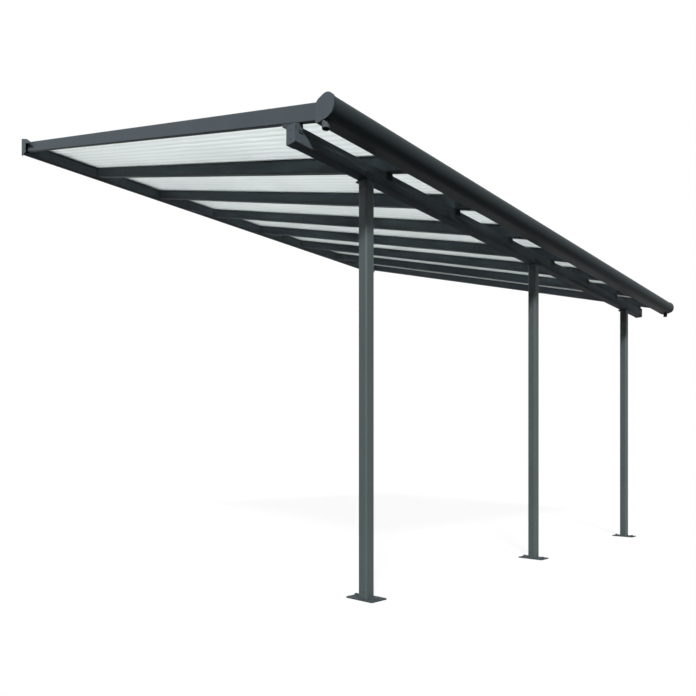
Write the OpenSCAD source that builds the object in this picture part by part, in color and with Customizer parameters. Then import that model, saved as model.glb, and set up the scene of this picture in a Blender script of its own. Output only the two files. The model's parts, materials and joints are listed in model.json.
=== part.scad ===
// Lean-to carport: a sloping roof of twin-wall sheets between slotted rafters, held by a wall
// profile at the back and by a beam on three posts set in from the gutter at the front.
// X runs along the wall, +Y points into the wall, +Z is up. The origin is the middle of the
// wall profile's back face.

/* [Roof] */
// Number of roof bays between the end rafters
bays = 7; // [2:1:10]
// Distance between rafter centres
bay_pitch = 606; // [400:1:800]
// Distance from the wall to the rafters' lower ends, level
roof_reach = 3936; // [2500:1:5000]
// Slope of the roof in degrees
roof_slope = 17.36; // [8:0.01:25]
// Height of the wall profile's middle above the ground
wall_height = 3432; // [2900:1:4200]

/* [Rafters] */
// Width of a rafter between two sheets
rafter_w = 42; // [30:1:60]
// Depth of that rafter below the sheets
rafter_d = 74.5; // [50:0.5:110]
// Width of an end rafter
end_rafter_w = 25; // [20:1:50]
// Depth of an end rafter below the sheets
end_rafter_d = 68; // [50:0.5:110]
// Wall thickness of a rafter's box
rafter_wall = 2.2; // [1.5:0.1:4]
// Radius of a rafter's two lower edges
rafter_edge_r = 4; // [2.5:0.5:8]
// Thickness of the flange over the sheets
rafter_flange_t = 2.5; // [1.5:0.1:5]
// Thickness of the web beside a sheet
rafter_web_t = 6; // [3:0.5:10]
// Radius of an end rafter's outer upper edge
end_rafter_top_r = 7; // [2:0.5:8]

/* [Roof sheets] */
// Thickness of a twin-wall sheet
sheet_t = 8; // [6:0.5:16]
// Thickness of a sheet's two skins
sheet_skin_t = 0.8; // [0.5:0.1:1.5]
// Thickness of the ribs between the skins
sheet_rib_t = 0.8; // [0.5:0.1:1.5]
// Distance between the ribs
sheet_rib_pitch = 11; // [8:0.5:25]
// How far a sheet reaches over the gutter, level
sheet_overhang = 34; // [20:1:60]
// How far a sheet stops before the wall
sheet_back_gap = 12; // [6:1:25]
// Play between a sheet and its slots
sheet_play = 0.6; // [0.2:0.1:1.5]

/* [Wall profile] */
// Height of the wall profile's back face
wall_flange_h = 136; // [124:1:180]
// Thickness of the back wall and of the hood
wall_flange_t = 3; // [2:0.5:5]
// Depth of the box that carries the rafters
wall_box_d = 45; // [30:1:70]
// Wall thickness of that box
wall_box_t = 2.5; // [1.5:0.1:4]
// How far the box stops above the back face's lower edge
wall_box_rise = 4; // [2:1:12]
// How far the sheets' underside meets the wall below the back face's upper edge
wall_seat_drop = 31; // [27:0.5:40]
// How far the wall profile and the beam reach past the end rafters
frame_over = 22; // [0:1:60]
// Length of the hood over the sheets, along the slope
hood_len = 60; // [56:1:130]
// Depth of the hood's front lip
hood_lip = 10; // [4:0.5:12]
// Diameter of the wall bolt holes
wall_bolt_d = 9; // [6:0.5:14]
// Depth of the wall bolts below the middle of the back face
wall_bolt_drop = 24; // [5:1:40]
// Thickness of the wall profile's end caps
wall_cap_t = 4; // [2:0.5:8]
// How far those caps stand below the back face
wall_cap_drop = 13; // [0:1:25]
// Depth of those caps beside the wall
wall_cap_d = 95; // [60:1:125]
// Distance from the wall to the crest of a cap's nose, level
wall_cap_crest = 134; // [130:1:170]
// Distance from the wall to the tip of a cap's nose, level
wall_cap_tip = 250; // [180:1:320]
// How far a cap's nose reaches below the sheets
wall_cap_lap = 12; // [4:1:30]

/* [Gutter] */
// Radius of the gutter's rounded nose
nose_r = 50; // [40:1:58]
// Radius of the gutter's lower back edge
heel_r = 10; // [6:1:14]
// Distance from the rafters' ends to the nose's centre
nose_out = 66; // [60:1:100]
// Depth of the nose's centre below the sheets' underside at the rafters' ends
nose_drop = 62; // [50:1:80]
// Radius of the gutter's upper back edge
shoulder_r = 30; // [20:1:34]
// Depth of that edge's centre below the sheets' underside
shoulder_drop = 43; // [36:1:60]
// How far the gutter's rolled lip stands in front of the nose's centre
lip_in = 5; // [0:1:25]
// Radius of the rolled lip
lip_r = 4; // [2.5:0.5:6]
// Wall thickness of the gutter
gutter_t = 2.5; // [1.5:0.1:4]
// How far the gutter reaches past the end rafters
gutter_over = 53; // [20:1:90]
// Length of the gutter head at each end
head_len = 50; // [47:1:90]
// Thickness of the gutter head's end plate
head_plate_t = 4; // [2:0.5:8]
// Width of the raised rim round the gutter head's end
head_rim_w = 12; // [6:1:25]
// Height of that rim
head_rim_h = 2; // [0.5:0.5:4]
// How much higher that rim stands over the nose
head_crown = 6; // [0:1:10]
// Outer diameter of the drain spout
spout_d = 34; // [25:1:36]
// Wall thickness of the drain spout
spout_wall = 3; // [2:0.5:5]
// Length of the drain spout below the gutter
spout_len = 30; // [15:1:80]
// Distance of the spout from the end of the gutter
spout_in = 19; // [19:1:30]
// Distance of the spout from the rafters' ends
spout_out = 46; // [30:1:60]

/* [Beam] */
// Distance from the rafters' lower ends back to the beam's middle
beam_in = 202; // [120:1:800]
// Width of the beam's lower body
beam_w = 58; // [44:1:90]
// Height of the beam's lower body
beam_body_h = 42; // [30:1:80]
// How far the beam's upper neck stands back from the body's front
neck_step = 6; // [4.5:0.5:12]
// Height of the beam's upper neck
neck_h = 38; // [20:1:60]
// Wall thickness of the beam
beam_wall = 2.5; // [1.5:0.1:5]
// Radius of the edges of the beam's lower body
beam_edge_r = 3; // [1:0.5:6]
// Thickness of the beam's end caps
beam_cap_t = 4; // [2:0.5:8]
// Thickness of an end cap's skirt, with the play inside it
cap_skirt_t = 2.3; // [1.5:0.1:5]
// How far an end cap reaches back over the beam's body
beam_cap_skirt = 37; // [15:1:60]
// Thickness of the rafter brackets' lips
bracket_t = 4; // [2:0.5:8]
// How far a rafter bracket's sides stand in from the rafter's sides
bracket_in = 1; // [0:0.5:5]
// Height of a rafter bracket at its lower side
bracket_h = 8; // [6:1:30]
// How far a bracket's lips reach down the beam's neck
bracket_lip = 28; // [10:1:35]
// Length of the leg that runs on behind the beam, under the rafter
bracket_leg = 62; // [20:1:120]
// Thickness of that leg
bracket_leg_t = 14; // [4:1:25]

/* [Posts] */
// Number of posts
posts = 3; // [2:1:5]
// Distance between post centres
post_pitch = 1715; // [1200:1:1900]
// How far the row of posts stands off the middle of the roof
post_shift = 49; // [-150:1:150]
// Width of a square post
post_w = 60; // [50:1:90]
// Wall thickness of a post
post_wall = 2.2; // [1.5:0.1:4]
// Radius of a post's edges
post_edge_r = 11; // [7:0.5:14]
// Width of a foot plate, along the wall
foot_w = 112; // [90:1:160]
// Length of a foot plate, away from the wall
foot_l = 190; // [176:1:260]
// Thickness of a foot plate
foot_t = 6; // [4:0.5:12]
// Radius of a foot plate's corners
foot_corner_r = 10; // [4:1:20]
// Distance between a foot plate's two bolts
foot_bolt_pitch = 146; // [110:1:165]
// Diameter of a foot plate's bolt holes
foot_bolt_d = 11; // [8:0.5:16]
// Height of the spigots that fit inside a post's two ends
spigot_h = 60; // [30:1:120]
// Wall thickness of those spigots
spigot_wall = 3; // [2:0.5:6]
// Play between a spigot and its post
spigot_play = 0.3; // [0.1:0.1:0.5]
// How far a post head's plate reaches behind the post's middle
head_plate_back = 46; // [34:1:90]
// Thickness of a post head's plate
post_head_t = 6; // [4:0.5:12]
// Height of a post head's two cheeks beside the beam
cheek_h = 30; // [15:1:38]
// Thickness of those cheeks
cheek_t = 4; // [2:0.5:8]

/* [Hidden] */
$fn = 64;
graphite = [0.27, 0.30, 0.33];
black_grey = [0.16, 0.17, 0.18];
clear_sheet = [0.88, 0.91, 0.91, 0.55];
spare = 200;
fit = 0.3;
hood_clear = 0.8;
half_len = bays * bay_pitch / 2;
rise = tan(roof_slope);
upright = cos(roof_slope);
seat_z = wall_flange_h / 2 - wall_seat_drop;
ground_z = -wall_height;
slot_h = sheet_t + sheet_play;
rafter_top = slot_h + rafter_flange_t;
hood_under = rafter_top + hood_clear;
hood_top = hood_under + hood_lip;

// Height of the sheets' underside and of the rafters' underside at a distance from the wall
function sheet_z(y) = seat_z + rise * y;
function rafter_z(y) = sheet_z(y) - rafter_d / upright;

end_y = -roof_reach;
nose = [end_y - nose_out, sheet_z(end_y) - nose_drop];
gutter_low = nose[1] - nose_r;
heel = [end_y - heel_r, gutter_low + heel_r];
shoulder = [end_y - shoulder_r, sheet_z(end_y) - shoulder_drop];
lip_y = nose[0] - lip_in;
beam_y = end_y + beam_in;
neck_w = beam_w - neck_step;
neck_front = beam_y + beam_w / 2 - neck_w;
beam_back = beam_y + beam_w / 2;
beam_top = rafter_z(neck_front) - bracket_h;
body_top = beam_top - neck_h;
beam_under = body_top - beam_body_h;
lip_drop = min(bracket_lip, neck_h - 3);
post_top = beam_under - post_head_t;
post_bottom = ground_z + foot_t;
spigot_w = post_w - 2 * post_wall - 2 * spigot_play;
spigot_edge_r = post_edge_r - post_wall - spigot_play;

// Rafters stand on the bay lines, and the end rafters just inside the outer ones
function bay_x(i) = i * bay_pitch - half_len;
function rafter_x(i) = i == 0 ? end_rafter_w / 2 - half_len
    : i == bays ? half_len - end_rafter_w / 2
    : bay_x(i);
function rafter_width(i) = i == 0 || i == bays ? end_rafter_w : rafter_w;
function rafter_depth(i) = i == 0 || i == bays ? end_rafter_d : rafter_d;
function post_x(i) = (i - (posts - 1) / 2) * post_pitch + post_shift;

// Extrudes a section drawn in Y and Z from one X to another
module along_x(from, to) {
    translate([from, 0, 0]) rotate([90, 0, 90]) linear_extrude(to - from) children();
}

// Extrudes a section drawn in Y and Z at one end, between two distances past the end rafter
module at_end(side, from, to) {
    near = side * (half_len + from);
    far = side * (half_len + to);
    along_x(min(near, far), max(near, far)) children();
}

// Extrudes a section drawn across the roof down the slope, between two distances from the wall
module down_roof(from, to) {
    translate([0, 0, seat_z]) rotate([roof_slope, 0, 0])
        translate([0, from, 0]) rotate([90, 0, 0]) linear_extrude(from - to) children();
}

// A rectangle with its middle at the origin and rounded corners
module rounded_square(w, l, r) {
    square([w - 2 * r, l], center = true);
    square([w, l - 2 * r], center = true);
    for (sx = [-1, 1], sy = [-1, 1]) translate([sx * (w / 2 - r), sy * (l / 2 - r)]) circle(r);
}

// The outline of two circles and the straight sides that touch both
module capsule(a, b, ra, rb) {
    span = b - a;
    turn = atan2(span[1], span[0]);
    lean = acos((ra - rb) / norm(span));
    side = [for (s = [-1, 1]) [cos(turn + s * lean), sin(turn + s * lean)]];
    translate(a) circle(ra);
    translate(b) circle(rb);
    polygon([a + ra * side[0], b + rb * side[0], b + rb * side[1], a + ra * side[1]]);
}

// Wall profile: back face, a box under the sheets and a hood over them
module wall_section() {
    low = -wall_flange_h / 2;
    box_low = low + wall_box_rise;
    inner_y = wall_box_t - wall_box_d;
    translate([-wall_flange_t, low]) square([wall_flange_t, wall_flange_h]);
    difference() {
        polygon([[-wall_box_d, box_low], [0, box_low], [0, sheet_z(0)],
            [-wall_box_d, sheet_z(-wall_box_d)]]);
        polygon([[inner_y, box_low + wall_box_t], [-wall_flange_t, box_low + wall_box_t],
            [-wall_flange_t, sheet_z(-wall_flange_t) - wall_box_t],
            [inner_y, sheet_z(inner_y) - wall_box_t]]);
    }
    intersection() {
        translate([-2 * hood_len, low]) square([2 * hood_len, wall_flange_h]);
        translate([0, seat_z]) rotate(roof_slope) {
            translate([-hood_len, hood_top - wall_flange_t]) square([hood_len + spare, wall_flange_t]);
            translate([-hood_len, hood_under]) square([wall_flange_t, hood_lip]);
        }
    }
}

module wall_profile() {
    color(graphite) difference() {
        along_x(-half_len - frame_over, half_len + frame_over) wall_section();
        for (i = [0 : bays - 1]) if (2 * i != bays - 1)
            translate([bay_x(i + 0.5), -wall_box_d - 1, -wall_bolt_drop])
                rotate([-90, 0, 0]) cylinder(d = wall_bolt_d, h = wall_box_d + 2);
    }
}

// End cap of the wall profile: a plate beside it, with a nose that laps over the end rafter
module wall_cap(side) {
    low = -wall_flange_h / 2 - wall_cap_drop;
    function lap_point(y) = [y, sheet_z(y) - wall_cap_lap];
    color(black_grey) at_end(side, frame_over, frame_over + wall_cap_t)
        polygon([[0, low], [-wall_cap_d, low], lap_point(-wall_cap_d), lap_point(-wall_cap_tip),
            [-wall_cap_crest, sheet_z(-wall_cap_crest) + hood_top / upright], [0, wall_flange_h / 2]]);
}

// Rafter's hollow box below the sheets
module rafter_box(w, d) {
    difference() {
        union() {
            translate([-w / 2, rafter_edge_r - d]) square([w, d - rafter_edge_r]);
            translate([rafter_edge_r - w / 2, -d]) square([w - 2 * rafter_edge_r, d]);
            for (s = [-1, 1])
                translate([s * (w / 2 - rafter_edge_r), rafter_edge_r - d]) circle(rafter_edge_r);
        }
        translate([rafter_wall - w / 2, rafter_wall - d]) square([w - 2 * rafter_wall, d - 2 * rafter_wall]);
    }
}

// Rafter between two sheets: a web and a flange over the box make a slot on both sides
module middle_section() {
    rafter_box(rafter_w, rafter_d);
    translate([-rafter_web_t / 2, -rafter_wall]) square([rafter_web_t, rafter_wall + rafter_top]);
    translate([-rafter_w / 2, slot_h]) square([rafter_w, rafter_flange_t]);
}

// Left end rafter: the outer side is closed and its upper edge is rounded
module end_section() {
    r = end_rafter_top_r;
    half = end_rafter_w / 2;
    difference() {
        union() {
            rafter_box(end_rafter_w, end_rafter_d);
            translate([-half, -rafter_wall]) square([rafter_web_t, rafter_wall + rafter_top]);
            translate([-half, slot_h]) square([end_rafter_w, rafter_flange_t]);
        }
        difference() {
            translate([-half - 1, rafter_top - r]) square([r + 1, r + 1]);
            translate([r - half, rafter_top - r]) circle(r);
        }
    }
}

module rafter(i) {
    color(graphite) intersection() {
        translate([rafter_x(i), 0, 0]) down_roof(spare, -roof_reach / upright - spare)
            if (i == 0) end_section();
            else if (i == bays) mirror([1, 0]) end_section();
            else middle_section();
        translate([-2 * half_len, end_y, -wall_height])
            cube([4 * half_len, roof_reach - wall_box_d, 2 * wall_height]);
    }
}

// Roof sheet: two skins with ribs between them, open at both ends
module roof_sheet(i) {
    left = (i == 0 ? rafter_web_t - half_len : bay_x(i) + rafter_web_t / 2) + sheet_play;
    right = (i == bays - 1 ? half_len - rafter_web_t : bay_x(i + 1) - rafter_web_t / 2) - sheet_play;
    flutes = floor((right - left - sheet_rib_t) / sheet_rib_pitch);
    margin = (right - left - flutes * sheet_rib_pitch) / 2;
    color(clear_sheet) translate([left, 0, 0])
        down_roof(-sheet_back_gap / upright, -(roof_reach + sheet_overhang) / upright)
            difference() {
                square([right - left, sheet_t]);
                for (k = [0 : flutes - 1])
                    translate([margin + k * sheet_rib_pitch + sheet_rib_t / 2, sheet_skin_t])
                        square([sheet_rib_pitch - sheet_rib_t, sheet_t - 2 * sheet_skin_t]);
            }
}

// Gutter's outer outline, closed over the top: a round nose, a flat bottom and an upright back
module gutter_outline(grow, crown) {
    capsule(nose + [crown, 0], shoulder, nose_r + crown + grow, shoulder_r + grow);
    translate(heel) circle(heel_r);
    polygon([[end_y, heel[1]], [end_y, shoulder[1]], nose, [nose[0], gutter_low], [heel[0], gutter_low]]);
}

// Space inside the gutter, open upward behind the rolled lip
module gutter_trough() {
    back = end_y - gutter_t;
    above = nose[1] + nose_r + spare;
    difference() {
        union() {
            translate(nose) circle(nose_r - gutter_t);
            translate(heel) circle(heel_r - gutter_t);
            polygon([[back, heel[1]], [back, above], [lip_y, above], [lip_y, nose[1]],
                [nose[0], gutter_low + gutter_t], [heel[0], gutter_low + gutter_t]]);
        }
        gutter_lip();
    }
}

module gutter_lip() {
    translate([lip_y, nose[1] + nose_r - lip_r]) circle(lip_r);
}

module gutter() {
    over = gutter_over - head_len;
    color(graphite) along_x(-half_len - over, half_len + over) {
        difference() {
            gutter_outline(0, 0);
            gutter_trough();
        }
        gutter_lip();
    }
}

// Gutter head: closes the gutter's end and drains it through a spout
module gutter_head(side) {
    spout_x = side * (half_len + gutter_over - spout_in);
    spout_y = end_y - spout_out;
    color(black_grey) difference() {
        union() {
            at_end(side, gutter_over - head_len, gutter_over) gutter_outline(0, 0);
            at_end(side, gutter_over - head_rim_w, gutter_over) intersection() {
                gutter_outline(head_rim_h, head_crown);
                translate([end_y - spare, heel[1]]) square(spare);
            }
            translate([spout_x, spout_y, gutter_low - spout_len])
                cylinder(d = spout_d, h = spout_len + gutter_t);
        }
        at_end(side, gutter_over - head_len - 1, gutter_over - head_plate_t) gutter_trough();
        translate([spout_x, spout_y, gutter_low - spout_len - 1])
            cylinder(d = spout_d - 2 * spout_wall, h = spout_len + 2 * gutter_t + 1);
    }
}

// Beam: a lower body with a narrower neck on top
module body_outline(grow) {
    translate([beam_y, beam_under + beam_body_h / 2])
        rounded_square(beam_w + 2 * grow, beam_body_h + 2 * grow, beam_edge_r + grow);
}

module neck_outline(grow) {
    translate([neck_front - grow, body_top - beam_wall])
        square([neck_w + 2 * grow, neck_h + beam_wall + grow]);
}

module beam() {
    color(graphite) along_x(-half_len - frame_over, half_len + frame_over) difference() {
        union() {
            body_outline(0);
            neck_outline(0);
        }
        translate([beam_y, beam_under + beam_body_h / 2])
            square([beam_w - 2 * beam_wall, beam_body_h - 2 * beam_wall], center = true);
        translate([neck_front + beam_wall, body_top]) square([neck_w - 2 * beam_wall, neck_h - beam_wall]);
    }
}

// End cap of the beam: a full plate with skirts round the body and, up to the rafter, the neck
module beam_cap(side) {
    full_h = beam_body_h + neck_h;
    color(black_grey) {
        at_end(side, frame_over, frame_over + beam_cap_t) translate([beam_y, beam_under + full_h / 2])
            rounded_square(beam_w + 2 * cap_skirt_t, full_h + 2 * cap_skirt_t, beam_edge_r);
        at_end(side, frame_over - beam_cap_skirt, frame_over) difference() {
            body_outline(cap_skirt_t);
            body_outline(fit);
            neck_outline(cap_skirt_t + fit);
        }
        at_end(side, fit, frame_over) difference() {
            neck_outline(cap_skirt_t);
            neck_outline(fit);
            body_outline(fit);
        }
    }
}

// Bracket: straddles the beam's neck and carries a rafter's sloping underside on a wedge and a leg
module rafter_bracket(i) {
    front = neck_front - bracket_t;
    back = beam_back + bracket_t;
    leg = back + bracket_leg;
    lift = (rafter_d - rafter_depth(i)) / upright;
    leg_drop = lift - bracket_leg_t / upright;
    half_w = rafter_width(i) / 2 - bracket_in;
    color(black_grey) along_x(rafter_x(i) - half_w, rafter_x(i) + half_w) difference() {
        polygon([[front, beam_top - lip_drop], [back, beam_top - lip_drop], [back, rafter_z(back) + leg_drop],
            [leg, rafter_z(leg) + leg_drop], [leg, rafter_z(leg) + lift], [front, rafter_z(front) + lift]]);
        translate([neck_front, beam_top - lip_drop - 1]) square([neck_w, lip_drop + 1]);
    }
}

// Post: a square tube with rounded edges
module post(i) {
    color(graphite) translate([post_x(i), beam_y, post_bottom]) linear_extrude(post_top - post_bottom)
        difference() {
            rounded_square(post_w, post_w, post_edge_r);
            rounded_square(post_w - 2 * post_wall, post_w - 2 * post_wall, post_edge_r - post_wall);
        }
}

// Spigot that fits inside a post's end
module spigot() {
    linear_extrude(spigot_h) difference() {
        rounded_square(spigot_w, spigot_w, spigot_edge_r);
        rounded_square(spigot_w - 2 * spigot_wall, spigot_w - 2 * spigot_wall, spigot_edge_r - spigot_wall);
    }
}

module post_foot(i) {
    color(black_grey) translate([post_x(i), beam_y, ground_z]) {
        linear_extrude(foot_t) difference() {
            rounded_square(foot_w, foot_l, foot_corner_r);
            for (s = [-1, 1]) translate([0, s * foot_bolt_pitch / 2]) circle(d = foot_bolt_d);
        }
        translate([0, 0, foot_t]) spigot();
    }
}

// Post head: a plate under the beam, with a cheek on each side of it
module post_head(i) {
    color(black_grey) translate([post_x(i), beam_y, post_top]) {
        translate([-post_w / 2, -beam_w / 2 - cheek_t, 0])
            cube([post_w, beam_w / 2 + cheek_t + head_plate_back, post_head_t]);
        for (s = [-1, 1]) translate([-post_w / 2, s * (beam_w + cheek_t) / 2 - cheek_t / 2, 0])
            cube([post_w, cheek_t, post_head_t + cheek_h]);
        translate([0, 0, -spigot_h]) spigot();
    }
}

wall_profile();
wall_cap(-1);  // wall_cap_left
wall_cap(1);  // wall_cap_right
for (i = [0 : bays]) rafter(i);
for (i = [0 : bays - 1]) roof_sheet(i);
gutter();
gutter_head(-1);  // gutter_head_left
gutter_head(1);  // gutter_head_right
beam();
beam_cap(-1);  // beam_cap_left
beam_cap(1);  // beam_cap_right
for (i = [0 : bays]) rafter_bracket(i);
for (i = [0 : posts - 1]) post(i);
for (i = [0 : posts - 1]) post_foot(i);
for (i = [0 : posts - 1]) post_head(i);
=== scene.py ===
import json
import math

import bmesh
import bpy
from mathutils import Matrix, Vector


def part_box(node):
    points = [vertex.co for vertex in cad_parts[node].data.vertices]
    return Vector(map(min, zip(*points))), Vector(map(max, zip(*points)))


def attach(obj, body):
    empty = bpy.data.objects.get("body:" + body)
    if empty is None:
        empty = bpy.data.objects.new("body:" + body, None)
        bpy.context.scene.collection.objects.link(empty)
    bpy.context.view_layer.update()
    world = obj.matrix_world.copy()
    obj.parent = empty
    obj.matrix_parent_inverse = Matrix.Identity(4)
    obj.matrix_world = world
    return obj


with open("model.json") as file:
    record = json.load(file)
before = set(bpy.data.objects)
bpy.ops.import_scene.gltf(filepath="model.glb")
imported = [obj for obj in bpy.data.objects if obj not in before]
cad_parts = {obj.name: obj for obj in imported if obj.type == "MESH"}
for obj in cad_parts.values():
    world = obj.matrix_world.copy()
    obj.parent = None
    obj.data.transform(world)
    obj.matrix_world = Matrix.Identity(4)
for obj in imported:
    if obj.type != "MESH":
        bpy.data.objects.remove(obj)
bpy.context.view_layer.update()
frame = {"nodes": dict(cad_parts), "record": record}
nodes = frame["nodes"]
print("frame loaded:", len(nodes), "nodes")

scene = bpy.context.scene
scene.view_settings.view_transform = "Standard"

# how the roof lies: its slope, the height at which the sheets' underside meets the wall, the sheets' thickness
roof = {"slope": math.radians(17.36), "seatZ": 0.037, "sheetT": 0.008}
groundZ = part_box("post_foot_1")[0].z
rafterCount = sum(name.startswith("rafter_") and "bracket" not in name for name in nodes)
sheetCount = sum(name.startswith("roof_sheet") for name in nodes)
postCount = sum(name.startswith("post_foot") for name in nodes)
sides = (-1, 1)


def roofPoint(x, out, up):
    # out is measured along the slope from the wall, up square to it
    rise, run = math.sin(roof["slope"]), math.cos(roof["slope"])
    return Vector((x, -out * run - up * rise, roof["seatZ"] - out * rise + up * run))


# camera, fitted to the photo's edges

view = {
    "place": (-3.8135, -5.8756, -2.7381), "turn": 48.33,
    "focal": 594.04, "centre": (400.0, 462.4), "frame": 696, "sensor": 36, "far": 200,
}

cameraData = bpy.data.cameras.new("camera")
cameraData.sensor_width = view["sensor"]
cameraData.lens = view["focal"] / view["frame"] * view["sensor"]
cameraData.shift_x = 0.5 - view["centre"][0] / view["frame"]
cameraData.shift_y = view["centre"][1] / view["frame"] - 0.5
cameraData.clip_end = view["far"]
camera = bpy.data.objects.new("camera", cameraData)
camera.location = view["place"]
camera.rotation_euler = (math.radians(90), 0, -math.radians(view["turn"]))
scene.collection.objects.link(camera)
scene.camera = camera
print("camera set")


# node helpers

def addNode(tree, kind, place=(0, 0), **values):
    node = tree.nodes.new(kind)
    node.location = place
    for key, value in values.items():
        setattr(node, key, value)
    return node


def join(tree, fromSocket, toSocket):
    tree.links.new(fromSocket, toSocket)


def feed(tree, value, socket):
    # a plain number is set on the socket, anything else is joined to it
    if isinstance(value, (int, float)):
        socket.default_value = value
    else:
        join(tree, value, socket)


def mathOf(tree, operation, a, b, place):
    node = addNode(tree, "ShaderNodeMath", place, operation=operation)
    feed(tree, a, node.inputs[0])
    feed(tree, b, node.inputs[1])
    return node.outputs[0]


def newMaterial(name, preview):
    material = bpy.data.materials.new(name)
    material.use_nodes = True
    material.diffuse_color = (*preview, 1)
    tree = material.node_tree
    tree.nodes.clear()
    out = addNode(tree, "ShaderNodeOutputMaterial", (900, 0))
    shader = addNode(tree, "ShaderNodeBsdfPrincipled", (600, 0))
    coords = addNode(tree, "ShaderNodeTexCoord", (-900, 0))
    join(tree, shader.outputs["BSDF"], out.inputs["Surface"])
    return material, tree, shader, coords.outputs["Object"]


def noiseOf(tree, coords, scale, detail, place, stretch=(1, 1, 1)):
    mapping = addNode(tree, "ShaderNodeMapping", (place[0] - 200, place[1]))
    mapping.inputs["Scale"].default_value = stretch
    noise = addNode(tree, "ShaderNodeTexNoise", place)
    noise.inputs["Scale"].default_value = scale
    noise.inputs["Detail"].default_value = detail
    join(tree, coords, mapping.inputs["Vector"])
    join(tree, mapping.outputs["Vector"], noise.inputs["Vector"])
    return noise.outputs["Fac"]


def shaded(colour, share):
    return tuple(share * c for c in colour)


def rampOf(tree, value, stops, place):
    ramp = addNode(tree, "ShaderNodeValToRGB", place)
    edges = ramp.color_ramp.elements
    edges[0].position, edges[0].color = stops[0][0], (*stops[0][1], 1)
    edges[1].position, edges[1].color = stops[-1][0], (*stops[-1][1], 1)
    for stop, colour in stops[1:-1]:
        edges.new(stop).color = (*colour, 1)
    join(tree, value, ramp.inputs["Fac"])
    return ramp.outputs["Color"]


def rangeOf(tree, value, low, high, place, fromLow=0.3, fromHigh=0.7):
    spread = addNode(tree, "ShaderNodeMapRange", place)
    spread.inputs["From Min"].default_value = fromLow
    spread.inputs["From Max"].default_value = fromHigh
    spread.inputs["To Min"].default_value = low
    spread.inputs["To Max"].default_value = high
    join(tree, value, spread.inputs["Value"])
    return spread.outputs["Result"]


def addGrain(tree, shader, coords, grain):
    # fine bump from noise, so that the surface isn't perfectly smooth
    height = noiseOf(tree, coords, grain["scale"], grain["detail"], (-400, -300), grain.get("stretch", (1, 1, 1)))
    bump = addNode(tree, "ShaderNodeBump", (250, -300))
    bump.inputs["Strength"].default_value = grain["strength"]
    bump.inputs["Distance"].default_value = grain["depth"]
    join(tree, height, bump.inputs["Height"])
    join(tree, bump.outputs["Normal"], shader.inputs["Normal"])


def mixOf(tree, factor, a, b, place):
    mix = addNode(tree, "ShaderNodeMix", place, data_type="RGBA")
    join(tree, factor, mix.inputs[0])
    for value, socket in ((a, mix.inputs[6]), (b, mix.inputs[7])):
        if isinstance(value, tuple):
            socket.default_value = (*value, 1)
        else:
            join(tree, value, socket)
    return mix.outputs[2]


# powder coats on the metal: slightly clouded, with fine flecks and an orange-peel skin

powderCoat = {
    "frame": {"colour": (0.074, 0.090, 0.103), "rough": (0.50, 0.60), "specular": 0.02},
    "bracket": {"colour": (0.060, 0.073, 0.080), "rough": (0.50, 0.60), "specular": 0.02},
    "gutter": {"colour": (0.034, 0.043, 0.046), "rough": (0.46, 0.54), "specular": 0.04},
    "post": {"colour": (0.061, 0.078, 0.080), "rough": (0.46, 0.54), "specular": 0.25},
}
coatSkin = {
    "patchScale": 3.0, "patchShade": (0.93, 1.06), "fleckScale": 900, "fleckShade": 1.5, "fleckShare": 0.35,
    "peel": {"scale": 1400, "detail": 3, "strength": 0.12, "depth": 0.0004},
}


def makePowderCoat(name, coat):
    colour = coat["colour"]
    material, tree, shader, coords = newMaterial(name, colour)
    patches = noiseOf(tree, coords, coatSkin["patchScale"], 5, (-400, 300))
    specks = noiseOf(tree, coords, coatSkin["fleckScale"], 2, (-400, 50))
    dull, bright = (shaded(colour, share) for share in coatSkin["patchShade"])
    base = rampOf(tree, patches, [(0.3, dull), (0.7, bright)], (-100, 350))
    fleck = rampOf(tree, specks, [(0.62, colour), (0.8, shaded(colour, coatSkin["fleckShade"]))], (-100, 100))
    share = rangeOf(tree, specks, 0.0, coatSkin["fleckShare"], (-100, -100), 0.6, 0.8)
    join(tree, mixOf(tree, share, base, fleck, (250, 250)), shader.inputs["Base Color"])
    join(tree, rangeOf(tree, patches, *coat["rough"], (250, 0)), shader.inputs["Roughness"])
    addGrain(tree, shader, coords, coatSkin["peel"])
    shader.inputs["Specular IOR Level"].default_value = coat["specular"]
    return material


# moulded plastic of the end caps

capPlastic = {
    "colour": (0.078, 0.094, 0.106), "rough": (0.55, 0.65), "specular": 0.04,
    "patchScale": 9, "patchShade": (0.9, 1.08),
    "grain": {"scale": 2200, "detail": 2, "strength": 0.2, "depth": 0.0003},
}


def makeCapPlastic():
    material, tree, shader, coords = newMaterial("moulded_cap_plastic", capPlastic["colour"])
    patches = noiseOf(tree, coords, capPlastic["patchScale"], 4, (-400, 300))
    dull, bright = (shaded(capPlastic["colour"], share) for share in capPlastic["patchShade"])
    join(tree, rampOf(tree, patches, [(0.3, dull), (0.7, bright)], (100, 300)), shader.inputs["Base Color"])
    join(tree, rangeOf(tree, patches, *capPlastic["rough"], (100, 0)), shader.inputs["Roughness"])
    addGrain(tree, shader, coords, capPlastic["grain"])
    shader.inputs["Specular IOR Level"].default_value = capPlastic["specular"]
    return material


# gutter heads: dark like the gutter, with a paler end face; the spout gets the end face's paler colour as a painted
# highlight

gutterHead = {
    "tube": powderCoat["gutter"]["colour"], "face": capPlastic["colour"], "rough": 0.55,
    "edge": 0.0006, "soft": 0.0001, "cloud": 0.15,
}


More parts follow.
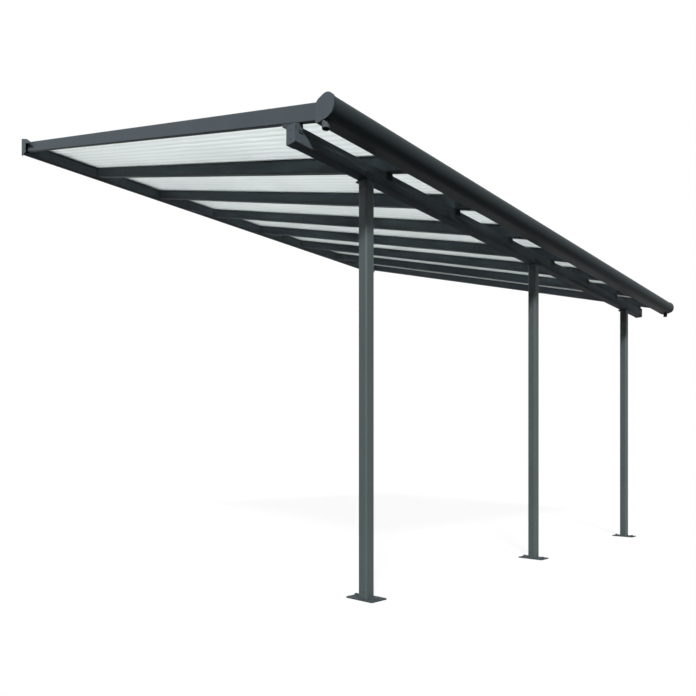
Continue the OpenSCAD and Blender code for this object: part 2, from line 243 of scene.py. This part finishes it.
def makeGutterHead():
    tube, face, edge, soft = (gutterHead[key] for key in ("tube", "face", "edge", "soft"))
    material, tree, shader, coords = newMaterial("gutter_head_plastic", tube)
    axes = addNode(tree, "ShaderNodeSeparateXYZ", (-650, 300))
    join(tree, coords, axes.inputs["Vector"])
    cloud, pale = gutterHead["cloud"], 1 - gutterHead["cloud"]
    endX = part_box("gutter_head_right")[1].x - edge
    outward = mathOf(tree, "ABSOLUTE", axes.outputs["X"], 0.0, (-450, 300))
    onFace = rangeOf(tree, outward, 0.0, pale, (-250, 300), endX, endX + soft)
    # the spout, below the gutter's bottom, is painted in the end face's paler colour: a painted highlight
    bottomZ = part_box("gutter")[0].z - edge
    spoutHighlight = rangeOf(tree, axes.outputs["Z"], pale, 0.0, (-250, 500), bottomZ, bottomZ + soft)
    paler = mathOf(tree, "MAXIMUM", onFace, spoutHighlight, (-100, 400))
    patches = noiseOf(tree, coords, capPlastic["patchScale"], 4, (-450, 50))
    shade = mathOf(tree, "ADD", paler, rangeOf(tree, patches, 0.0, cloud, (-250, 50)), (-50, 200))
    # the paler stops colour the end face and the spout's painted highlight
    stops = [(0.0, shaded(tube, 0.93)), (cloud, shaded(tube, 1.06))]  # the tube's shades, then the paler ones
    stops += [(pale, shaded(face, 0.94)), (1.0, shaded(face, 1.05))]
    join(tree, rampOf(tree, shade, stops, (150, 300)), shader.inputs["Base Color"])
    addGrain(tree, shader, coords, capPlastic["grain"])
    shader.inputs["Roughness"].default_value = gutterHead["rough"]
    shader.inputs["Specular IOR Level"].default_value = capPlastic["specular"]
    return material


# clear twin-wall sheets: the ribs show as fine lines and gather into faint wider bands

clearSheet = {
    "colour": (0.834, 0.857, 0.854), "line": 0.74, "rough": 1.0, "ior": 1.10, "hazeScale": 1.6, "hazeShare": 0.15,
    "bands": {"pitch": 0.055, "bend": 0.6, "share": 0.50}, "ribs": {"pitch": 0.011, "bend": 0.0, "share": 0.35},
    "draw": {"scale": 60, "detail": 3, "strength": 0.05, "depth": 0.0006, "stretch": (1, 0.02, 0.02)},
}


def makeClearSheet():
    colour = clearSheet["colour"]
    material, tree, shader, coords = newMaterial("clear_twin_wall", colour)
    haze = noiseOf(tree, coords, clearSheet["hazeScale"], 4, (-400, 300))
    total = rangeOf(tree, haze, 0.0, clearSheet["hazeShare"], (-300, 500))
    for lines, row in ((clearSheet["bands"], 200), (clearSheet["ribs"], -50)):
        wave = addNode(tree, "ShaderNodeTexWave", (-600, row), wave_type="BANDS", bands_direction="X")
        wave.inputs["Scale"].default_value = math.tau / (20 * lines["pitch"])  # the wave's own length is tau / 20
        wave.inputs["Distortion"].default_value = lines["bend"]
        wave.inputs["Detail Scale"].default_value = 0.4
        join(tree, coords, wave.inputs["Vector"])
        part = rangeOf(tree, wave.outputs["Fac"], 0.0, lines["share"], (-350, row), 0.0, 1.0)
        total = mathOf(tree, "ADD", total, part, (-100, row))
    tint = rampOf(tree, total, [(0.0, shaded(colour, clearSheet["line"])), (0.75, colour), (1.0, colour)], (100, 300))
    # only the two skins are tinted: the ribs between them stay clear, so a slanting look through many is no darker
    side = addNode(tree, "ShaderNodeNewGeometry", (-300, 750))
    axes = addNode(tree, "ShaderNodeSeparateXYZ", (-100, 750))
    join(tree, side.outputs["Normal"], axes.inputs["Vector"])
    across = mathOf(tree, "ABSOLUTE", axes.outputs["X"], 0.0, (50, 750))
    onRib = rangeOf(tree, across, 0.0, 1.0, (200, 750), 0.4, 0.6)
    join(tree, mixOf(tree, onRib, tint, (1, 1, 1), (400, 400)), shader.inputs["Base Color"])
    addGrain(tree, shader, coords, clearSheet["draw"])  # faint lines drawn along the sheet
    shader.inputs["Roughness"].default_value = clearSheet["rough"]
    shader.inputs["Transmission Weight"].default_value = 1.0
    shader.inputs["IOR"].default_value = clearSheet["ior"]
    return material


# zinc-plated screws in the gutter

fastenerSteel = {"colour": (0.42, 0.43, 0.44), "rough": (0.28, 0.45), "stainScale": 220, "stainShade": 0.8}


def makeFastenerSteel():
    colour = fastenerSteel["colour"]
    material, tree, shader, coords = newMaterial("zinc_plated_steel", colour)
    stain = noiseOf(tree, coords, fastenerSteel["stainScale"], 4, (-400, 200))
    stops = [(0.3, shaded(colour, fastenerSteel["stainShade"])), (0.7, colour)]
    join(tree, rampOf(tree, stain, stops, (100, 300)), shader.inputs["Base Color"])
    join(tree, rangeOf(tree, stain, *fastenerSteel["rough"], (100, 0)), shader.inputs["Roughness"])
    shader.inputs["Metallic"].default_value = 1.0
    return material


# black rubber of beads and foam, with a little dust

sealRubber = {
    "colour": (0.016, 0.017, 0.018), "dust": (0.03, 0.031, 0.031), "dustScale": 25, "rough": (0.6, 0.8),
    "grain": {"scale": 1500, "detail": 2, "strength": 0.25, "depth": 0.0003},
}


def makeSealRubber():
    colour = sealRubber["colour"]
    material, tree, shader, coords = newMaterial("black_seal_rubber", colour)
    dust = noiseOf(tree, coords, sealRubber["dustScale"], 5, (-400, 200))
    stops = [(0.35, colour), (0.8, sealRubber["dust"])]
    join(tree, rampOf(tree, dust, stops, (100, 300)), shader.inputs["Base Color"])
    join(tree, rangeOf(tree, dust, *sealRubber["rough"], (100, 0)), shader.inputs["Roughness"])
    addGrain(tree, shader, coords, sealRubber["grain"])
    return material


finish = {
    "frame": makePowderCoat("graphite_powder_coat", powderCoat["frame"]),
    "bracket": makePowderCoat("dark_powder_coat", powderCoat["bracket"]),
    "gutter": makePowderCoat("black_grey_gutter_coat", powderCoat["gutter"]),
    "post": makePowderCoat("satin_post_coat", powderCoat["post"]),
    "cap": makeCapPlastic(),
    "gutter_head": makeGutterHead(),
    "sheet": makeClearSheet(),
    "steel": makeFastenerSteel(),
    "rubber": makeSealRubber(),
}

# a piece with a finish of its own gets that, the others the finish of their slot
for sub in frame["record"]["subparts"]:
    node = nodes[sub["node"]]
    node.data.materials.clear()
    kind = sub["node"].rstrip("_0123456789").removesuffix("_left").removesuffix("_right")
    node.data.materials.append(finish.get(kind, finish[sub["material_slot"]]))
print("finishes made")


# geometry node helpers

def newTree(name, sizes):
    tree = bpy.data.node_groups.new(name, "GeometryNodeTree")
    tree.interface.new_socket(name="Geometry", in_out="INPUT", socket_type="NodeSocketGeometry")
    tree.interface.new_socket(name="Finish", in_out="INPUT", socket_type="NodeSocketMaterial")
    for size in sizes:
        tree.interface.new_socket(name=size, in_out="INPUT", socket_type="NodeSocketFloat")
    tree.interface.new_socket(name="Geometry", in_out="OUTPUT", socket_type="NodeSocketGeometry")
    return tree, addNode(tree, "NodeGroupInput", (-1400, 0)), addNode(tree, "NodeGroupOutput", (900, 0))


def endTree(tree, source, result, geometry):
    real = addNode(tree, "GeometryNodeRealizeInstances", (500, 0))
    paint = addNode(tree, "GeometryNodeSetMaterial", (700, 0))
    join(tree, geometry, real.inputs["Geometry"])
    join(tree, real.outputs["Geometry"], paint.inputs["Geometry"])
    join(tree, source.outputs["Finish"], paint.inputs["Material"])
    join(tree, paint.outputs["Geometry"], result.inputs["Geometry"])


def addPiece(name, mesh):
    piece = bpy.data.objects.new(name, mesh)
    mesh.name = name
    scene.collection.objects.link(piece)
    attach(piece, "root")
    print(name, len(mesh.polygons), "faces")


def runTree(name, base, tree, finishName, sizes):
    # puts the tree on a carrier, keeps its evaluated result as a plain mesh and lets it ride on the frame
    carrier = bpy.data.objects.new(name + "_carrier", base)
    scene.collection.objects.link(carrier)
    modifier = carrier.modifiers.new("nodes", "NODES")
    modifier.node_group = tree
    values = {"Finish": finish[finishName], **sizes}
    for item in tree.interface.items_tree:
        if item.in_out == "INPUT" and item.name in values:
            modifier[item.identifier] = values[item.name]
    bpy.context.view_layer.update()
    evaluated = carrier.evaluated_get(bpy.context.evaluated_depsgraph_get())
    mesh = bpy.data.meshes.new_from_object(evaluated)
    carrier.modifiers.remove(modifier)
    bpy.data.objects.remove(carrier)
    addPiece(name, mesh)


def seat(x, y, z, way):
    # where a fastener sits and the way its head faces
    return Vector((x, y, z)), Vector(way)


def pointsMesh(name, seats):
    # one vertex per seat, with the way its head faces in an attribute
    mesh = bpy.data.meshes.new(name)
    mesh.from_pydata([place for place, way in seats], [], [])
    facing = mesh.attributes.new("facing", "FLOAT_VECTOR", "POINT")
    for index, (place, way) in enumerate(seats):
        facing.data[index].vector = way
    return mesh


def linesMesh(name, lines):
    mesh = bpy.data.meshes.new(name)
    points = [point for line in lines for point in line]
    mesh.from_pydata(points, [(2 * i, 2 * i + 1) for i in range(len(lines))], [])
    return mesh


spinSeed = 7


def placeOnSeats(tree, source, shape):
    # stands the shape on every seat, turned to face away from it and spun at random
    facing = addNode(tree, "GeometryNodeInputNamedAttribute", (-500, -300), data_type="FLOAT_VECTOR")
    facing.inputs["Name"].default_value = "facing"
    align = addNode(tree, "FunctionNodeAlignRotationToVector", (-300, -300), axis="Z")
    join(tree, facing.outputs["Attribute"], align.inputs["Vector"])
    spin = addNode(tree, "FunctionNodeRandomValue", (-500, -550), data_type="FLOAT")
    spin.inputs[3].default_value = math.tau  # the largest value of the float kind
    spin.inputs["Seed"].default_value = spinSeed
    spinTurn = addNode(tree, "FunctionNodeAxisAngleToRotation", (-300, -550))
    spinTurn.inputs["Axis"].default_value = (0, 0, 1)
    join(tree, spin.outputs[1], spinTurn.inputs["Angle"])
    turn = addNode(tree, "FunctionNodeRotateRotation", (-100, -400), rotation_space="LOCAL")
    join(tree, align.outputs["Rotation"], turn.inputs["Rotation"])
    join(tree, spinTurn.outputs["Rotation"], turn.inputs["Rotate By"])
    stand = addNode(tree, "GeometryNodeInstanceOnPoints", (150, 0))
    join(tree, source.outputs["Geometry"], stand.inputs["Points"])
    join(tree, shape, stand.inputs["Instance"])
    join(tree, turn.outputs["Rotation"], stand.inputs["Rotation"])
    return stand.outputs["Instances"]


def prismOf(tree, corners, radius, depth, place):
    prism = addNode(tree, "GeometryNodeMeshCylinder", place)
    prism.inputs["Vertices"].default_value = corners
    join(tree, radius, prism.inputs["Radius"])
    join(tree, depth, prism.inputs["Depth"])
    return prism.outputs["Mesh"]


def halfOf(tree, depth, place):
    # a primitive stands around its middle: half its depth lifts it onto its seat
    return mathOf(tree, "MULTIPLY", depth, 0.5, place)


def movedUp(tree, mesh, height, place):
    offset = addNode(tree, "ShaderNodeCombineXYZ", (place[0] - 150, place[1] - 120))
    join(tree, height, offset.inputs["Z"])
    move = addNode(tree, "GeometryNodeTransform", place)
    join(tree, mesh, move.inputs["Geometry"])
    join(tree, offset.outputs["Vector"], move.inputs["Translation"])
    return move.outputs["Geometry"]


def makeHexBoltTree():
    # six-sided head on a round washer
    sizes = ["Head Radius", "Head Height", "Washer Radius", "Washer Height"]
    tree, source, result = newTree("hex_bolt_on_seats", sizes)
    headRadius, headHeight, washerRadius, washerHeight = (source.outputs[size] for size in sizes)
    washer = prismOf(tree, 20, washerRadius, washerHeight, (-1000, 200))
    head = prismOf(tree, 6, headRadius, headHeight, (-1000, -100))
    washerUp = movedUp(tree, washer, halfOf(tree, washerHeight, (-1000, 400)), (-750, 200))
    headLift = mathOf(tree, "ADD", halfOf(tree, headHeight, (-1000, -350)), washerHeight, (-850, -350))
    headUp = movedUp(tree, head, headLift, (-650, -100))
    both = addNode(tree, "GeometryNodeJoinGeometry", (-450, 100))
    join(tree, washerUp, both.inputs["Geometry"])
    join(tree, headUp, both.inputs["Geometry"])
    endTree(tree, source, result, placeOnSeats(tree, source, both.outputs["Geometry"]))
    return tree


def makePanScrewTree():
    # low cone with a six-sided socket cut into its crown
    sizes = ["Head Radius", "Crown Radius", "Head Height", "Socket Radius"]
    tree, source, result = newTree("pan_screw_on_seats", sizes)
    headRadius, crownRadius, headHeight, socketRadius = (source.outputs[size] for size in sizes)
    head = addNode(tree, "GeometryNodeMeshCone", (-1000, 100))
    head.inputs["Vertices"].default_value = 16
    join(tree, headRadius, head.inputs["Radius Bottom"])
    join(tree, crownRadius, head.inputs["Radius Top"])
    join(tree, headHeight, head.inputs["Depth"])
    socket = prismOf(tree, 6, socketRadius, headHeight, (-1000, -200))
    socketLift = mathOf(tree, "ADD", headHeight, halfOf(tree, headHeight, (-1000, -450)), (-850, -450))
    cut = addNode(tree, "GeometryNodeMeshBoolean", (-450, 0), operation="DIFFERENCE")
    join(tree, head.outputs["Mesh"], cut.inputs["Mesh 1"])
    join(tree, movedUp(tree, socket, socketLift, (-650, -200)), cut.inputs["Mesh 2"])
    endTree(tree, source, result, placeOnSeats(tree, source, cut.outputs["Mesh"]))
    return tree


def makeBeadTree():
    # round bead along every line
    tree, source, result = newTree("bead_along_lines", ["Bead Radius"])
    path = addNode(tree, "GeometryNodeMeshToCurve", (-900, 0))
    ring = addNode(tree, "GeometryNodeCurvePrimitiveCircle", (-900, -250), mode="RADIUS")
    ring.inputs["Resolution"].default_value = 8
    join(tree, source.outputs["Bead Radius"], ring.inputs["Radius"])
    sweep = addNode(tree, "GeometryNodeCurveToMesh", (-600, 0))
    sweep.inputs["Fill Caps"].default_value = True
    join(tree, source.outputs["Geometry"], path.inputs["Mesh"])
    join(tree, path.outputs["Curve"], sweep.inputs["Curve"])
    join(tree, ring.outputs["Curve"], sweep.inputs["Profile Curve"])
    endTree(tree, source, result, sweep.outputs["Mesh"])
    return tree


hexBoltTree = makeHexBoltTree()
panScrewTree = makePanScrewTree()
beadTree = makeBeadTree()
print("node trees made")


# hex bolts: wall bolts inside the roof, anchors on the foot plates

wallBolts = {
    "across": (0.606, 1.212, 1.818), "down": 0.024, "boxD": 0.045,
    "head": {"Head Radius": 0.0075, "Head Height": 0.0053, "Washer Radius": 0.012, "Washer Height": 0.002},
}
seats = [
    seat(side * x, -wallBolts["boxD"], -wallBolts["down"], (0, -1, 0))
    for x in wallBolts["across"] for side in sides
]
runTree("wall_bolt_heads", pointsMesh("wall_bolt_seats", seats), hexBoltTree, "bracket", wallBolts["head"])

anchorBolts = {
    "pitch": 0.146, "plateT": 0.006,
    "head": {"Head Radius": 0.0095, "Head Height": 0.008, "Washer Radius": 0.0145, "Washer Height": 0.0025},
}
seats = []
for index in range(postCount):
    low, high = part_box(f"post_foot_{index + 1}")
    middle = (low + high) / 2
    z = low.z + anchorBolts["plateT"]
    for side in sides:
        seats.append(seat(middle.x, middle.y + side * anchorBolts["pitch"] / 2, z, (0, 0, 1)))
base = pointsMesh("foot_anchor_seats", seats)
runTree("foot_anchor_bolts", base, hexBoltTree, "bracket", anchorBolts["head"])


# pan-head screws on brackets, posts, end caps and in the gutter

panScrew = {"Head Radius": 0.0058, "Crown Radius": 0.0040, "Head Height": 0.0034, "Socket Radius": 0.0022}
smallScrew = {"Head Radius": 0.0042, "Crown Radius": 0.0028, "Head Height": 0.0024, "Socket Radius": 0.0016}

# two on the front and two on the back of every bracket
bracketScrews = {"spread": 0.25, "lipDown": 0.016, "lipT": 0.004}
beamLow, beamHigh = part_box("beam")
seats = []
for index in range(rafterCount):
    low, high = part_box(f"rafter_bracket_{index + 1}")
    for side in sides:
        x = (low.x + high.x) / 2 + side * bracketScrews["spread"] * (high.x - low.x)
        for y, aim in ((low.y, -1), (beamHigh.y + bracketScrews["lipT"], 1)):
            seats.append(seat(x, y, beamHigh.z - bracketScrews["lipDown"], (0, aim, 0)))
runTree("bracket_screws", pointsMesh("bracket_screw_seats", seats), panScrewTree, "bracket", panScrew)

# pairs low and high on both sides of every post
postScrews = {"up": 0.036, "apart": 0.026}
seats = []
for index in range(postCount):
    low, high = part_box(f"post_{index + 1}")
    middleY = (low.y + high.y) / 2
    for x, aim in ((low.x, -1), (high.x, 1)):
        for z in (low.z + postScrews["up"], high.z - postScrews["up"]):
            seats += [seat(x, middleY + side * postScrews["apart"] / 2, z, (aim, 0, 0)) for side in sides]
runTree("post_screws", pointsMesh("post_screw_seats", seats), panScrewTree, "bracket", smallScrew)

# places on a wall cap as y and z, and heights on a beam cap
capScrews = {"wall": ((-0.022, -0.052), (-0.022, 0.040), (-0.074, -0.040)), "beamUp": (0.022, 0.062)}
beamY = (beamLow.y + beamHigh.y) / 2
seats = []
for name, aim in (("left", -1), ("right", 1)):
    low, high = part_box(f"wall_cap_{name}")
    x = low.x if aim < 0 else high.x
    seats += [seat(x, y, z, (aim, 0, 0)) for y, z in capScrews["wall"]]
    low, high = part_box(f"beam_cap_{name}")
    x = low.x if aim < 0 else high.x
    seats += [seat(x, beamY, low.z + up, (aim, 0, 0)) for up in capScrews["beamUp"]]
runTree("cap_screws", pointsMesh("cap_screw_seats", seats), panScrewTree, "cap", smallScrew)

# two on the gutter's back, into the end of every rafter
gutterScrews = {"aside": 0.0055, "down": 0.042, "stagger": 0.008, "wallT": 0.0025}
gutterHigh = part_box("gutter")[1]
seats = []
for index in range(rafterCount):
    low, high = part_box(f"rafter_{index + 1}")
    for side in sides:
        x = (low.x + high.x) / 2 + side * gutterScrews["aside"]
        z = gutterHigh.z - gutterScrews["down"] - side * gutterScrews["stagger"]
        seats.append(seat(x, gutterHigh.y - gutterScrews["wallT"], z, (0, -1, 0)))
runTree("gutter_screws", pointsMesh("gutter_screw_seats", seats), panScrewTree, "steel", smallScrew)


# rubber beads between the rafters' flanges and the sheets, on the roof's upper side

sheetSeal = {"bead": {"Bead Radius": 0.0022}, "start": 0.064, "end": 4.125, "up": 0.0098, "aside": 0.0012}
lines = []
for index in range(rafterCount):
    low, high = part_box(f"rafter_{index + 1}")
    leftEdge = [] if index == 0 else [low.x - sheetSeal["aside"]]
    rightEdge = [] if index == rafterCount - 1 else [high.x + sheetSeal["aside"]]
    for x in leftEdge + rightEdge:
        lines.append([roofPoint(x, sheetSeal[end], sheetSeal["up"]) for end in ("start", "end")])
runTree("sheet_seals", linesMesh("sheet_seal_lines", lines), beadTree, "rubber", sheetSeal["bead"])

# rubber bead in the corner of the beam's step, front side
beamBead = {"bead": {"Bead Radius": 0.0036}, "neckH": 0.038, "step": 0.006, "sunk": 0.0012, "inset": 0.040}
beadY = beamLow.y + beamBead["step"] - beamBead["sunk"]
beadZ = beamHigh.z - beamBead["neckH"] + beamBead["sunk"]
lines = [[Vector((x, beadY, beadZ)) for x in (beamLow.x + beamBead["inset"], beamHigh.x - beamBead["inset"])]]
runTree("beam_step_bead", linesMesh("beam_step_line", lines), beadTree, "rubber", beamBead["bead"])


# strips across the sheets

def extrudeAcross(name, section, finishName):
    # section is a closed ring of places along and above the roof, run across every sheet
    outline = [roofPoint(0, out, up) for out, up in section]
    mesh = bpy.data.meshes.new(name)
    shape = bmesh.new()
    for left, right in sheetSpans:
        nearRing = [shape.verts.new((left, p.y, p.z)) for p in outline]
        farRing = [shape.verts.new((right, p.y, p.z)) for p in outline]
        shape.faces.new(nearRing)
        shape.faces.new(farRing)
        for a in range(len(outline)):
            b = (a + 1) % len(outline)
            shape.faces.new((nearRing[a], nearRing[b], farRing[b], farRing[a]))
    bmesh.ops.recalc_face_normals(shape, faces=shape.faces)
    shape.to_mesh(mesh)
    shape.free()
    mesh.materials.append(finish[finishName])
    addPiece(name, mesh)


stripInset = 0.024  # keeps the strips clear of the rafters' webs
sheetSpans = []
for index in range(sheetCount):
    low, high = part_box(f"roof_sheet_{index + 1}")
    sheetSpans.append((low.x + stripInset, high.x - stripInset))
sheetEnd = -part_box("roof_sheet_2")[0].y / math.cos(roof["slope"]) - roof["sheetT"] * math.tan(roof["slope"])

# U strip that closes the flutes at each sheet's lower end
endStrip = {"wall": 0.0011, "cover": 0.018, "gap": 0.0002}
back, inner = sheetEnd - endStrip["cover"], sheetEnd + endStrip["gap"]
outer = inner + endStrip["wall"]
innerLow, innerTop = -endStrip["gap"], roof["sheetT"] + endStrip["gap"]
outerLow, outerTop = innerLow - endStrip["wall"], innerTop + endStrip["wall"]
section = [
    (back, outerLow), (outer, outerLow), (outer, outerTop), (back, outerTop),
    (back, innerTop), (inner, innerTop), (inner, innerLow), (back, innerLow),
]
extrudeAcross("sheet_end_strips", section, "sheet")

# foam strip between the sheets and the hood's lip
hoodFoam = {"out": (0.048, 0.059), "up": (0.0081, 0.0118)}
(start, end), (under, over) = hoodFoam["out"], hoodFoam["up"]
extrudeAcross("hood_foam", [(start, under), (end, under), (end, over), (start, over)], "rubber")


# floor, light and background

stage = {
    "floor": 80.0, "pale": (0.99, 0.99, 0.99), "glow": 0.92, "bounce": (0.05, 0.05, 0.05),
    "sky": (0.25, 1.0), "skyColour": (0.97, 1.0, 1.0), "fillWay": (0.7, 0.7, 0.0), "fillEdge": (0.1, 0.8),
}
keySun = {"from": (-1.1, -0.95, 0.95), "strength": 4.35, "spread": 8}


def raySwitch(tree, place):
    # one for rays that should meet the white background: straight, mirrored or passed through,
    # and not on their way to light the part
    x, y = place
    path = addNode(tree, "ShaderNodeLightPath", place)
    seen = mathOf(tree, "MAXIMUM", path.outputs["Is Camera Ray"], path.outputs["Is Glossy Ray"], (x + 200, y))
    seen = mathOf(tree, "MAXIMUM", seen, path.outputs["Is Transmission Ray"], (x + 400, y))
    direct = mathOf(tree, "LESS_THAN", path.outputs["Diffuse Depth"], 0.5, (x + 200, y - 200))
    return mathOf(tree, "MULTIPLY", seen, direct, (x + 600, y))


def mixShaders(tree, factor, a, b, place):
    mix = addNode(tree, "ShaderNodeMixShader", place)
    feed(tree, factor, mix.inputs["Fac"])
    join(tree, a, mix.inputs[1])
    join(tree, b, mix.inputs[2])
    return mix.outputs["Shader"]


def diffuseOf(tree, colour, place):
    diffuse = addNode(tree, "ShaderNodeBsdfDiffuse", place)
    diffuse.inputs["Color"].default_value = (*colour, 1)
    return diffuse.outputs["BSDF"]


def makeFloor():
    material = bpy.data.materials.new("pale_floor")
    material.use_nodes = True
    tree = material.node_tree
    tree.nodes.clear()
    out = addNode(tree, "ShaderNodeOutputMaterial", (700, 0))
    seen = raySwitch(tree, (-700, 200))
    glow = addNode(tree, "ShaderNodeEmission", (-100, -300))
    glow.inputs["Strength"].default_value = 1.0
    pale = diffuseOf(tree, stage["pale"], (-100, -150))
    white = mixShaders(tree, stage["glow"], pale, glow.outputs["Emission"], (150, -200))
    bounce = diffuseOf(tree, stage["bounce"], (-100, 0))
    join(tree, mixShaders(tree, seen, bounce, white, (400, 0)), out.inputs["Surface"])
    half = stage["floor"] / 2
    corners = [(x, y, groundZ) for x, y in ((-half, -half), (half, -half), (half, half), (-half, half))]
    mesh = bpy.data.meshes.new("floor")
    mesh.from_pydata(corners, [], [(0, 1, 2, 3)])
    mesh.materials.append(material)
    floor = bpy.data.objects.new("floor", mesh)
    scene.collection.objects.link(floor)


def makeSky():
    world = bpy.data.worlds.new("studio")
    scene.world = world
    world.use_nodes = True
    tree = world.node_tree
    tree.nodes.clear()
    out = addNode(tree, "ShaderNodeOutputWorld", (600, 0))
    seen = raySwitch(tree, (-700, 200))
    # the sky fills the sides turned away from the key
    way = addNode(tree, "ShaderNodeTexCoord", (-700, -200))
    facing = addNode(tree, "ShaderNodeVectorMath", (-500, -200), operation="DOT_PRODUCT")
    facing.inputs[1].default_value = stage["fillWay"]
    join(tree, way.outputs["Generated"], facing.inputs[0])
    light = addNode(tree, "ShaderNodeBackground", (100, 0))
    light.inputs["Color"].default_value = (*stage["skyColour"], 1)
    strength = rangeOf(tree, facing.outputs["Value"], *stage["sky"], (-250, -200), *stage["fillEdge"])
    join(tree, strength, light.inputs["Strength"])
    white = addNode(tree, "ShaderNodeBackground", (100, -200))
    white.inputs["Color"].default_value = (1, 1, 1, 1)
    white.inputs["Strength"].default_value = 1.0
    mix = mixShaders(tree, seen, light.outputs["Background"], white.outputs["Background"], (350, 0))
    join(tree, mix, out.inputs["Surface"])


def addSun():
    data = bpy.data.lights.new("key_sun", "SUN")
    data.energy = keySun["strength"]
    data.angle = math.radians(keySun["spread"])
    lamp = bpy.data.objects.new("key_sun", data)
    lamp.rotation_euler = Vector(keySun["from"]).to_track_quat("Z", "Y").to_euler()
    scene.collection.objects.link(lamp)


makeFloor()
makeSky()
addSun()
print("floor and light set")
